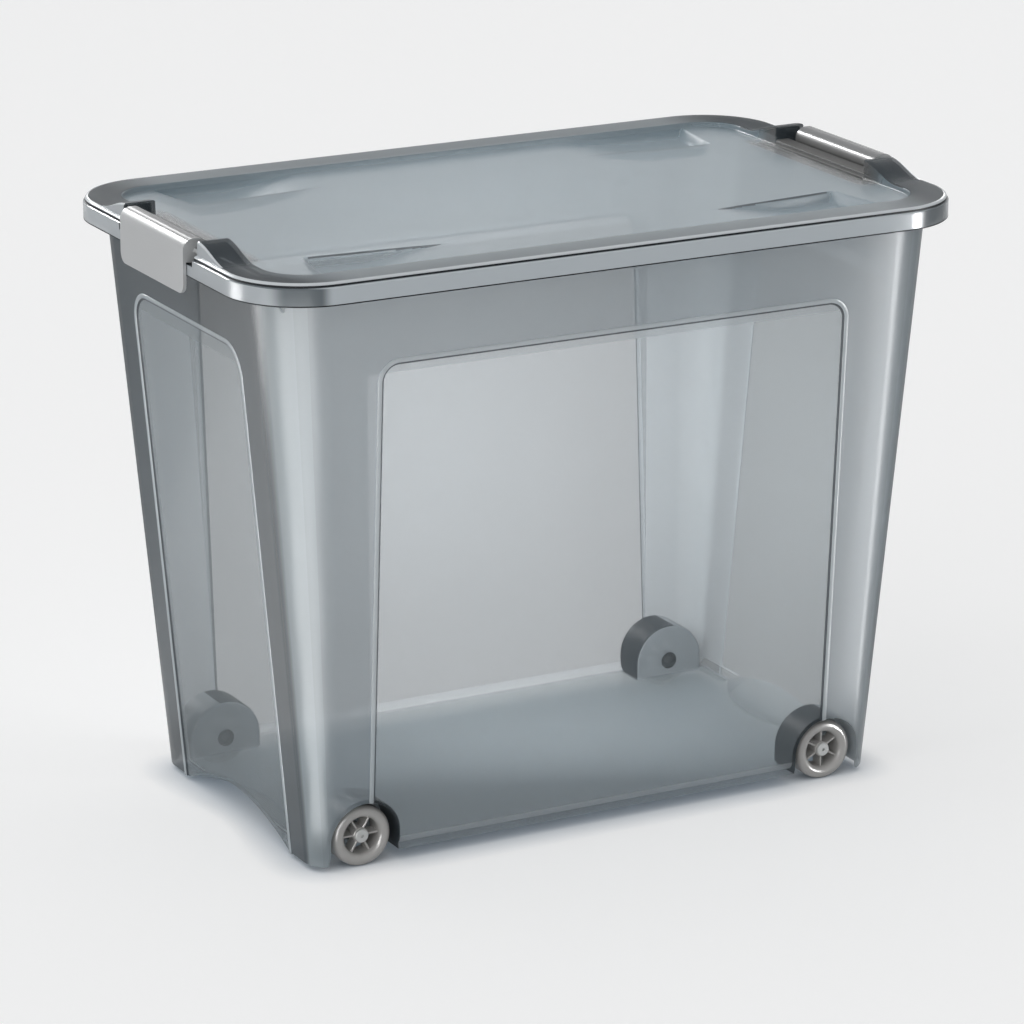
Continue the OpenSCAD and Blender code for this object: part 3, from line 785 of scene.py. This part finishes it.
def plastic(name, colour, roughness, alpha=1.0, coat=0.0, specular=0.5, vary=None):
    """Moulded plastic: clouded gloss and a fine grain, or a slow wave where it is clear. Opaque plastic is
    clouded in its colour too."""
    mat, tree, bsdf = principled(name)
    clear = alpha < 1
    coords = tree.nodes.new("ShaderNodeTexCoord")
    link = tree.links.new
    cloud = add(tree, "ShaderNodeTexNoise", Scale=CLOUD_SCALE, Detail=3.0)
    link(coords.outputs["Object"], cloud.inputs["Vector"])
    if vary:
        link(vary(tree, coords, colour), bsdf.inputs["Base Color"])
    elif clear:
        bsdf.inputs["Base Color"].default_value = (*colour, 1)
    else:
        pale = tuple(c * (1 + MOTTLE) for c in colour)
        deep = tuple(c * (1 - MOTTLE) for c in colour)
        link(blend(tree, cloud.outputs["Fac"], deep, pale), bsdf.inputs["Base Color"])
    rough = tree.nodes.new("ShaderNodeMapRange")
    rough.inputs["To Min"].default_value = roughness * (1 - ROUGH_MOTTLE)
    rough.inputs["To Max"].default_value = roughness * (1 + ROUGH_MOTTLE)
    link(cloud.outputs["Fac"], rough.inputs["Value"])
    link(rough.outputs["Result"], bsdf.inputs["Roughness"])
    fine = add(tree, "ShaderNodeTexNoise", Scale=WAVE_SCALE if clear else GRAIN_SCALE, Detail=2.0)
    link(coords.outputs["Object"], fine.inputs["Vector"])
    bump = add(tree, "ShaderNodeBump", Strength=BUMP_STRENGTH, Distance=BUMP_M)
    link(fine.outputs["Fac"], bump.inputs["Height"])
    link(bump.outputs["Normal"], bsdf.inputs["Normal"])
    bsdf.inputs["Alpha"].default_value = alpha
    bsdf.inputs["Coat Weight"].default_value = coat
    bsdf.inputs["Coat Roughness"].default_value = COAT_ROUGHNESS
    bsdf.inputs["Specular IOR Level"].default_value = specular
    bsdf.inputs["IOR"].default_value = PLASTIC_IOR
    if clear:
        mat.surface_render_method = "BLENDED"
    return mat


def set_material(obj, *materials):
    obj.data.materials.clear()
    for m in materials:
        obj.data.materials.append(m)


def rim_depth(x, y):
    """Distance in from the lid's outer face."""
    cx, cy = max(min(x, LID_AX), -LID_AX), max(min(y, LID_AY), -LID_AY)
    return LID_R - math.hypot(x - cx, y - cy)


LID_ZONES = ("panel", "rim", "skirt", "shoulder", "groove_shade", "seat_shade", "pocket_line")

# Distances in from the lid's edge: the skirt and its step, a clip's seat, the rim's inner edge, the trough's
# shade. Heights below the lid's top: the groove over the skirt and the shoulder above it.
STEP_D, SEAT_D, PANEL_D, SHADE_D = 3.5, 24, 29.5, (17, 31.3)
GROOVE_D, GROOVE_DROP, SHOULDER_DROP = (1.3, 1.6), (3.2, 1.5), 1.65


def lid_zone(x, y, z, n):
    """Zone of a face of the lid from its centre and its normal."""
    d = rim_depth(x, y)
    ax, ay = abs(x), abs(y)
    at_end = ax > LID_AX
    at_seat = at_end and ay < SEAT_Y + 0.2 and d < SEAT_D
    rise = wing_height(y) if at_end else 0.0
    on_wing = rise > 0.2
    on_saddle = at_seat and z > SADDLE_Z - 0.3
    in_groove = GROOVE_D[0] < d < GROOVE_D[1] and LID_TOP - GROOVE_DROP[0] < z < LID_TOP - GROOVE_DROP[1]
    if at_end and ay < SEAT_Y and SHADE_D[0] < d < SHADE_D[1] and n.z > 0.2:
        return "seat_shade"
    if on_saddle and abs(n.y) > 0.7:
        return "rim"
    # The near-black saddle, step riser over the skirt and skirt's lower edge are painted shade.
    if on_saddle or in_groove:
        return "groove_shade"
    if d < STEP_D and z < SKIRT_Z + SKIRT_LINE_H:
        return "groove_shade"
    # The pale shoulder line along the rim's outer edge and the wing's edge is a painted highlight.
    if d < WING_INSET - 0.02 and z > LID_TOP - SHOULDER_DROP and n.z > 0.05:
        return "shoulder"
    if on_wing and WING_INSET + 0.2 < d < WING_INSET + 1.7 and n.z > 0.2:
        return "shoulder"
    if d < STEP_D and z < LID_TOP - 3.3 or on_wing and WING_INSET - 0.05 < d < WING_INSET + 0.4:
        return "skirt"
    # The dark line along a pocket's inner crest is painted shade.
    crest = PANEL_Z - POCKET_LINE_H < z < PANEL_Z - 0.05 and 0.2 < n.z < 0.985
    if crest and POCKET_X[0] + 4 < ax < POCKET_X[2] and POCKET_Y[0] - 2 < ay < POCKET_Y[1] + 2:
        return "pocket_line"
    return "rim" if d < PANEL_D else "panel"


TUB_ZONES = ("side_out", "turn_out", "corner_out", "end_out", "frame_in_painted_glow", "side_window", "end_window",
             "window_in_painted_glow", "floor", "bead", "bead_shade_line", "well_side_shade", "well_face", "socket")

# Height that the window beads stay below, and the bounds of the wall over an arch
BEADS_TOP, ARCH_IN, ARCH_Y, ARCH_Z = 420, 170, 105, 50

# Degrees that a wall's normal turns from the side walls' to the end of each outer zone
SIDE_TURN, EDGE_TURN, CORNER_TURN = 22, 38, 66


def tub_zone(x, y, z, n, reach):
    """Zone of a face of the tub from its centre, its normal and its farthest distance from a wheel's axis."""
    ax, ay = abs(x), abs(y)
    under_rim = z < BEADS_TOP
    on_side = (ay - wall_y(z)) * math.cos(SIDE_LEAN)
    on_end = (ax - wall_x(z)) * math.cos(END_LEAN)
    r = math.hypot(ax - WHEEL_X, z - WHEEL_Z)
    # The socket's black is painted shade in the hole.
    if reach < SOCKET_R + 0.5 and WELL_Y < ay < WELL_Y + SOCKET_D + WELL_T + 1:
        return "socket"
    if abs(n.y) > 0.7 and WELL_Y - 0.5 < ay < WELL_Y + WELL_T + 0.5 and r < WELL_R + WELL_T + 6:
        return "well_face"
    cheek = abs(n.x) > 0.7 and z < WHEEL_Z and abs(ax - WHEEL_X) < WELL_R + NOTCH_W
    # The dark well sides are painted shade.
    if WELL_Y - 3 < ay < FOOT_Y - 1 and abs(n.y) < 0.7 and (r < WELL_R + WELL_T + 0.5 or cheek):
        return "well_side_shade" if ax < WHEEL_X + 4 else "well_face"
    # The dark line just inside a window's bead is painted shade, and the bead's pale face a painted
    # highlight.
    if under_rim and (-0.97 < on_side < -0.02 and ax < 200 or -0.97 < on_end < -0.02 and ay < 100):
        return "bead_shade_line"
    if under_rim and (0.05 < on_side < 2 or 0.05 < on_end < 2):
        return "bead"
    if abs(n.z) > 0.9 and z < FLOOR_Z + 1:
        return "floor"
    inner = n.x * x / MOUTH_X + n.y * y / MOUTH_Y < 0
    over_arch = inner and ax > ARCH_IN and ay < ARCH_Y and z < ARCH_Z and n.z > 0.3
    in_side = abs(n.y) > 0.99 and ax < SIDE_WINDOW[0] and z < SIDE_WINDOW[1]
    in_end = abs(n.x) > 0.99 and ay < END_WINDOW[0] and z < END_WINDOW[1]
    # Inner faces of the windows and of the frame get paler colours than the outer faces, as painted light.
    if in_side or in_end or over_arch:
        return "window_in_painted_glow" if inner else "side_window" if in_side else "end_window"
    if inner:
        return "frame_in_painted_glow"
    turn = math.degrees(math.atan2(abs(n.x), abs(n.y)))
    if turn < SIDE_TURN:
        return "side_out"
    return "turn_out" if turn < EDGE_TURN else "corner_out" if turn < CORNER_TURN else "end_out"


def mark_lid(obj):
    """Gives each zone of the lid its material."""
    for poly in obj.data.polygons:
        x, y, z = (c / MM for c in poly.center)
        poly.material_index = LID_ZONES.index(lid_zone(x, y, z, poly.normal))


def mark_tub(obj):
    """Gives each zone of the tub its material."""
    away = [math.hypot(abs(v.co.x) / MM - WHEEL_X, v.co.z / MM - WHEEL_Z) for v in obj.data.vertices]
    for poly in obj.data.polygons:
        x, y, z = (c / MM for c in poly.center)
        reach = max(away[i] for i in poly.vertices)
        poly.material_index = TUB_ZONES.index(tub_zone(x, y, z, poly.normal, reach))


def mark_clip(obj):
    """0 the plate, 1 the top of the roll and 2 its inner side; 1 and 2 get darker colours as painted shade.
    """
    for poly in obj.data.polygons:
        inward = -poly.normal.x * math.copysign(1, poly.center.x)
        on_roll = poly.center.z / MM > HINGE_Z - 4
        on_top = on_roll and (poly.normal.z > 0.76 or inward > 0.1)
        poly.material_index = 2 if on_roll and inward > 0.8 else 1 if on_top else 0


def mark_peg(obj):
    """0 the head of an axle peg and 1 its inner end, which is black as painted shade in the socket."""
    for poly in obj.data.polygons:
        poly.material_index = int(abs(poly.center.y) / MM < HUB_END)


side_c, end_shade_c = (0.232, 0.278, 0.308), (0.045, 0.058, 0.068)
turn_highlight_c = (0.36, 0.41, 0.43)
tub_materials = {
    # The outer faces lighten where they turn into the corners: a painted highlight.
    "side_out": plastic("side_out", side_c, 0.31, alpha=0.56, specular=0.4, vary=painted_turn_light_shade(turn_highlight_c)),
    "turn_out": plastic("turn_out", side_c, 0.31, alpha=0.62, specular=0.4, vary=painted_turn_light_shade(turn_highlight_c)),
    "corner_out": plastic("corner_out", side_c, 0.31, alpha=0.68, specular=0.4, vary=painted_turn_light_shade(turn_highlight_c)),
    # The flat end walls darken to a near-black slate: painted shade.
    "end_out": plastic("end_out", (0.35, 0.40, 0.42), 0.32, alpha=0.73, specular=0.3, vary=painted_end_shade(end_shade_c)),
    # The inner faces are much paler than the outer ones, standing in for light glowing through the walls:
    # painted light.
    "frame_in_painted_glow": plastic("frame_in_painted_glow", (0.74, 0.79, 0.82), 0.40, alpha=0.48, specular=0.1),
    "side_window": plastic("side_window", (0.15, 0.175, 0.19), 0.12, alpha=0.26, specular=0.1),
    "end_window": plastic("end_window", (0.16, 0.19, 0.205), 0.12, alpha=0.48, specular=0.1),
    # The inner window faces are paler than the outer ones: painted light.
    "window_in_painted_glow": plastic("window_in_painted_glow", (0.50, 0.55, 0.58), 0.32, alpha=0.24, specular=0.05),
    "floor": plastic("tub_floor", (0.47, 0.525, 0.55), 0.24, alpha=0.45),
    # The bead's pale colour is a painted highlight and the dark line inside it painted shade.
    "bead": plastic("bead", (0.52, 0.57, 0.60), 0.24, alpha=0.75),
    "bead_shade_line": plastic("bead_shade_line", (0.05, 0.06, 0.07), 0.35, alpha=0.85, specular=0.2),
    # Near-black well sides: painted shade.
    "well_side_shade": plastic("well_side_shade", (0.02, 0.026, 0.032), 0.4, alpha=0.88, specular=0.2),
    "well_face": plastic("well_face", (0.38, 0.42, 0.445), 0.32, alpha=0.7),
    # Black socket: painted shade in the hole.
    "socket": plastic("socket", (0.01, 0.012, 0.014), 0.5, alpha=0.95, specular=0.1),
}
lid_materials = {
    # The panel darkens to a warm grey near the ends' middle, beside the clips: painted shade.
    "panel": plastic("lid_panel", (0.225, 0.305, 0.35), 0.32, alpha=0.52, coat=0.5,
                     vary=painted_shade_towards_ends((0.15, 0.15, 0.148), 251, 258, 98)),
    # The rim darkens towards the ends: painted shade.
    "rim": plastic("lid_rim", (0.38, 0.415, 0.435), 0.4, alpha=0.72, specular=0.08,
                   vary=painted_shade_towards_ends((0.06, 0.073, 0.083), 215, 275)),
    # The skirt is paler on the sides than on the ends, with a dark band round the corners: painted shade.
    "skirt": plastic("skirt", (0.74, 0.80, 0.84), 0.22, alpha=0.74,
                     vary=painted_turn_light_shade((0.60, 0.64, 0.67), (0.17, 0.20, 0.22))),
    # Pale shoulder line: a painted highlight.
    "shoulder": plastic("shoulder", (0.76, 0.80, 0.83), 0.2, alpha=0.85),
    # Near-black gaps and steps: painted shade.
    "groove_shade": plastic("groove_shade", (0.02, 0.024, 0.028), 0.5, alpha=0.92, specular=0.1),
    "seat_shade": plastic("seat_shade", (0.16, 0.16, 0.157), 0.45, alpha=0.85, specular=0.1),
    # Dark pocket crest line: painted shade.
    "pocket_line": plastic("pocket_line", (0.08, 0.095, 0.11), 0.4, alpha=0.8, specular=0.2),
}
# The roll's top and its inner side are darker than the plate: painted shade.
clip_materials = [plastic("clip_plastic", (0.505, 0.515, 0.52), 0.38),
                  plastic("clip_roll_shade", (0.165, 0.17, 0.173), 0.23, specular=0.8),
                  plastic("clip_inside_shade", (0.15, 0.15, 0.148), 0.4)]
wheel_plastic = plastic("wheel_plastic", (0.47, 0.46, 0.445), 0.24, specular=0.7)
axle_plastic = plastic("axle_plastic", (0.66, 0.67, 0.66), 0.4)
# Black inner end of a peg: painted shade in the socket.
peg_end_shade = plastic("peg_end_shade", (0.02, 0.021, 0.022), 0.6)

# Pieces

tub = make_tub()
set_material(tub, *(tub_materials[zone] for zone in TUB_ZONES))
mark_tub(tub)
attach(tub, "tub")
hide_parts("tub")

lid = make_lid()
set_material(lid, *(lid_materials[zone] for zone in LID_ZONES))
mark_lid(lid)
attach(lid, "lid")
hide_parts("lid")

for side in ("left", "right"):
    clip = make_clip(f"clip_{side}_shell")
    if side == "left":
        turned = mirrored(clip, -1, 1)
        turned.name = f"clip_{side}_shell"
        bpy.data.objects.remove(clip)
        clip = turned
    set_material(clip, *clip_materials)
    mark_clip(clip)
    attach(clip, f"clip_{side}")
    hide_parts(f"clip_{side}")

for face, sy in (("front", -1), ("back", 1)):
    for side, sx in (("left", -1), ("right", 1)):
        where = f"{face}_{side}"
        spin = math.radians(30) if side == "right" else 0.0
        wheel = make_wheel(f"wheel_{where}_shell", sx, sy, spin)
        set_material(wheel, wheel_plastic)
        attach(wheel, f"wheel_{where}")
        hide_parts(f"wheel_{where}")
        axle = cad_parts[f"axle_{where}"]
        set_material(axle, axle_plastic, peg_end_shade)
        mark_peg(axle)
        axle.data.shade_smooth()
        axle.data.set_sharp_from_angle(angle=math.radians(35))

# Floor and backdrop

# The floor as it is seen: its lit part, its even glow, and the painted contact shadow colour that both take
# beside the bin's foot
SEEN_AS_LIT, FLOOR_GLOW = 0.50, 0.526
CONTACT_REACH, CONTACT_POWER = 0.03, 1.2
CONTACT_SHADOW_C = (0.45, 0.53, 0.62)
FLOOR_C = (0.84, 0.84, 0.84, 1)
FLOOR_HALF, BACKDROP_H, BEND_Y, BEND_R = 9000.0, 4000.0, 4000.0, 1500.0


def seen_ray(tree):
    """1 for camera, glossy and transmission rays, otherwise 0."""
    path = tree.nodes.new("ShaderNodeLightPath")
    seen = math_node(tree, "MAXIMUM", path.outputs["Is Camera Ray"], path.outputs["Is Glossy Ray"])
    return math_node(tree, "MAXIMUM", seen, path.outputs["Is Transmission Ray"])


def make_floor():
    """Floor that curves up into a backdrop far behind the bin."""
    bend = [(BEND_Y + y, BEND_R + z) for y, z in arc(0, 0, BEND_R, -90, 0, 16)]
    pts = [(-FLOOR_HALF, 0.0)] + bend + [(BEND_Y + BEND_R, BACKDROP_H)]
    verts = [(x, y, z) for x in (-FLOOR_HALF, FLOOR_HALF) for y, z in pts]
    n = len(pts)
    faces = [(i, i + 1, n + i + 1, n + i) for i in range(n - 1)]
    floor = new_piece("floor", verts, faces)
    floor.data.shade_smooth()
    mat, tree, bsdf = principled("floor_paper")
    bsdf.inputs["Roughness"].default_value = 0.9
    bsdf.inputs["Specular IOR Level"].default_value = 0.0
    bsdf.inputs["Base Color"].default_value = FLOOR_C
    seen = tree.nodes.new("ShaderNodeBsdfDiffuse")
    glow = tree.nodes.new("ShaderNodeEmission")
    glow.inputs["Strength"].default_value = FLOOR_GLOW
    # Painted contact shadow: the floor darkens to a bluish colour where the bin's foot shuts out the sky.
    near = tree.nodes.new("ShaderNodeAmbientOcclusion")
    near.inputs["Distance"].default_value = CONTACT_REACH
    openness = math_node(tree, "POWER", near.outputs["AO"], CONTACT_POWER)
    white = (SEEN_AS_LIT, SEEN_AS_LIT, SEEN_AS_LIT)
    tree.links.new(blend(tree, openness, CONTACT_SHADOW_C, white), seen.inputs["Color"])
    tree.links.new(blend(tree, openness, (0.0, 0.0, 0.0), (1.0, 1.0, 1.0)), glow.inputs["Color"])
    both = tree.nodes.new("ShaderNodeAddShader")
    mix = tree.nodes.new("ShaderNodeMixShader")
    link = tree.links.new
    link(seen.outputs[0], both.inputs[0])
    link(glow.outputs[0], both.inputs[1])
    link(seen_ray(tree), mix.inputs[0])
    link(bsdf.outputs[0], mix.inputs[1])
    link(both.outputs[0], mix.inputs[2])
    link(mix.outputs[0], tree.nodes["Material Output"].inputs["Surface"])
    floor.data.materials.append(mat)


def make_flag():
    """Dark sheet on the floor behind the bin that shows only as its reflection, for the bin's dark edges."""
    reach, z = 1900.0, 0.6
    ring = [(0.0, 0.0, z)] + [(x, y, z) for x, y in arc(0, 0, reach, -12, 126, 24)]
    flag = new_piece("flag", ring, [tuple(range(len(ring)))])
    mat, _, bsdf = principled("flag_cloth")
    bsdf.inputs["Base Color"].default_value = (0.02, 0.022, 0.025, 1)
    bsdf.inputs["Specular IOR Level"].default_value = 0.0
    flag.data.materials.append(mat)
    for ray in ("camera", "diffuse", "transmission", "volume_scatter", "shadow"):
        setattr(flag, "visible_" + ray, False)


make_floor()
make_flag()

# Camera and lights

CAMERA_AT = (-1641.2, -3092.6, 1290.1)
CAMERA_YAW, CAMERA_PITCH = 0.487, -0.299
SENSOR, FOCAL_PX, FRAME_PX = 36.0, 4714.1, 1024.0

camera = bpy.data.objects.new("camera", bpy.data.cameras.new("camera"))
bpy.context.scene.collection.objects.link(camera)
camera.data.sensor_width = SENSOR
camera.data.lens = FOCAL_PX / FRAME_PX * SENSOR
camera.data.clip_end = 100
look = Vector((math.sin(CAMERA_YAW) * math.cos(CAMERA_PITCH), math.cos(CAMERA_YAW) * math.cos(CAMERA_PITCH),
               math.sin(CAMERA_PITCH)))
camera.location = Vector(CAMERA_AT) * MM
camera.rotation_euler = look.to_track_quat("-Z", "Y").to_euler()
bpy.context.scene.camera = camera


def area_light(name, at, target, width, height, power, gloss_only=False):
    data = bpy.data.lights.new(name, "AREA")
    data.shape = "RECTANGLE"
    data.size = width
    data.size_y = height
    data.energy = power
    lamp = bpy.data.objects.new(name, data)
    bpy.context.scene.collection.objects.link(lamp)
    lamp.location = at
    lamp.rotation_euler = (Vector(target) - Vector(at)).to_track_quat("-Z", "Y").to_euler()
    lamp.visible_camera = False
    if gloss_only:
        lamp.visible_diffuse = False
        lamp.visible_transmission = False
    return lamp


def around(azimuth, distance, height, about=(0, 0)):
    """Place at this azimuth and distance from a point. Lamps' places and sizes are in metres."""
    a = math.radians(azimuth)
    return (about[0] + distance * math.cos(a), about[1] + distance * math.sin(a), height)


def sun(name, azimuth, elevation, angle, strength):
    """Wide soft light that makes no reflection."""
    data = bpy.data.lights.new(name, "SUN")
    data.angle = math.radians(angle)
    data.energy = strength
    lamp = bpy.data.objects.new(name, data)
    bpy.context.scene.collection.objects.link(lamp)
    up = math.radians(elevation)
    towards = -Vector(around(azimuth, math.cos(up), math.sin(up)))
    lamp.rotation_euler = towards.to_track_quat("-Z", "Y").to_euler()
    lamp.visible_glossy = False


def cards(name, azimuth, about, spread, radiance, lean):
    """Row of cards that slopes up from the floor beside a corner and widens outwards, seen only as its
    reflection. The azimuth turns by lean degrees for each metre out."""
    stops, slope = (0.02, 0.07, 0.15, 0.28, 0.5), 0.6
    for i, (near, far) in enumerate(zip(stops, stops[1:])):
        mid = (near + far) / 2
        a = math.radians(azimuth + lean * mid)
        out = Vector((math.cos(a), math.sin(a), 0))
        centre = Vector((about[0], about[1], slope * mid)) + out * mid
        width, length = 2 * mid * math.tan(math.radians(spread)), (far - near) * math.hypot(1, slope)
        area_light(f"{name}_{i}", centre, centre + (Vector((0, 0, 1)) - out * slope), width, length,
                   radiance * math.pi * width * length, True)


def strip(name, azimuth, about, width, radiance):
    """Upright strip beside a corner that leans as the corner does and shines at it alone."""
    distance, height, lean, spread = 0.12, 0.5, 0.108, 64
    a = math.radians(azimuth)
    out = Vector((math.cos(a), math.sin(a), 0))
    at = Vector((*about, height / 2)) + out * (distance + lean * height / 2)
    half = math.radians(spread) / 2
    gain = math.tan(half) / (math.tan(half) - half)
    lamp = area_light(name, at, at - out + Vector((0, 0, lean)), width, height,
                      radiance * math.pi * width * height / gain, True)
    lamp.data.spread = 2 * half


sun("left", azimuth=205, elevation=34, angle=70, strength=0.85)
sun("top", azimuth=110, elevation=74, angle=70, strength=0.6)
cards("corner_card", azimuth=217, about=(-0.25, -0.14), spread=36, radiance=10.0, lean=18)
strip("right_card", azimuth=308, about=(0.238, -0.148), width=0.04, radiance=62.0)
area_light("clip_card", around(109, 2.4, 1.6), (-0.3, 0, 0.46), width=0.9, height=0.5, power=42,
           gloss_only=True)
for name, azimuth in (("left", 82), ("right", 42)):
    area_light(f"pocket_card_{name}", around(azimuth, 2.2, 1.15), (0, 0, 0.46), width=0.45, height=0.5,
               power=4, gloss_only=True)
skirt_at = (-0.29, -0.14)
area_light("skirt_card", around(143, 0.5, 0.31, skirt_at), (*skirt_at, 0.455), width=0.2, height=0.22,
           power=1.7, gloss_only=True)
inside = area_light("inside", (0.0, -0.07, 0.25), (0.14, 0.3, 0.24), width=0.26, height=0.20, power=1.4)
inside.visible_glossy = False

# World: an even pale sky as light, and a paler one where it is seen
SKY_C, SKY_LIGHT, SKY_SEEN = (0.93, 0.95, 0.97, 1), 0.35, (0.86, 0.86, 0.86, 1)

world = bpy.data.worlds.new("studio")
bpy.context.scene.world = world
world.use_nodes = True
tree = world.node_tree
sky = tree.nodes["Background"]
sky.inputs["Color"].default_value = SKY_C
sky.inputs["Strength"].default_value = SKY_LIGHT
seen_sky = add(tree, "ShaderNodeBackground", Color=SKY_SEEN, Strength=1.0)
mix = tree.nodes.new("ShaderNodeMixShader")
tree.links.new(seen_ray(tree), mix.inputs[0])
tree.links.new(sky.outputs[0], mix.inputs[1])
tree.links.new(seen_sky.outputs[0], mix.inputs[2])
tree.links.new(mix.outputs[0], tree.nodes["World Output"].inputs["Surface"])

bpy.context.scene.view_settings.view_transform = "Standard"
bpy.context.scene.cycles.transparent_max_bounces = 32
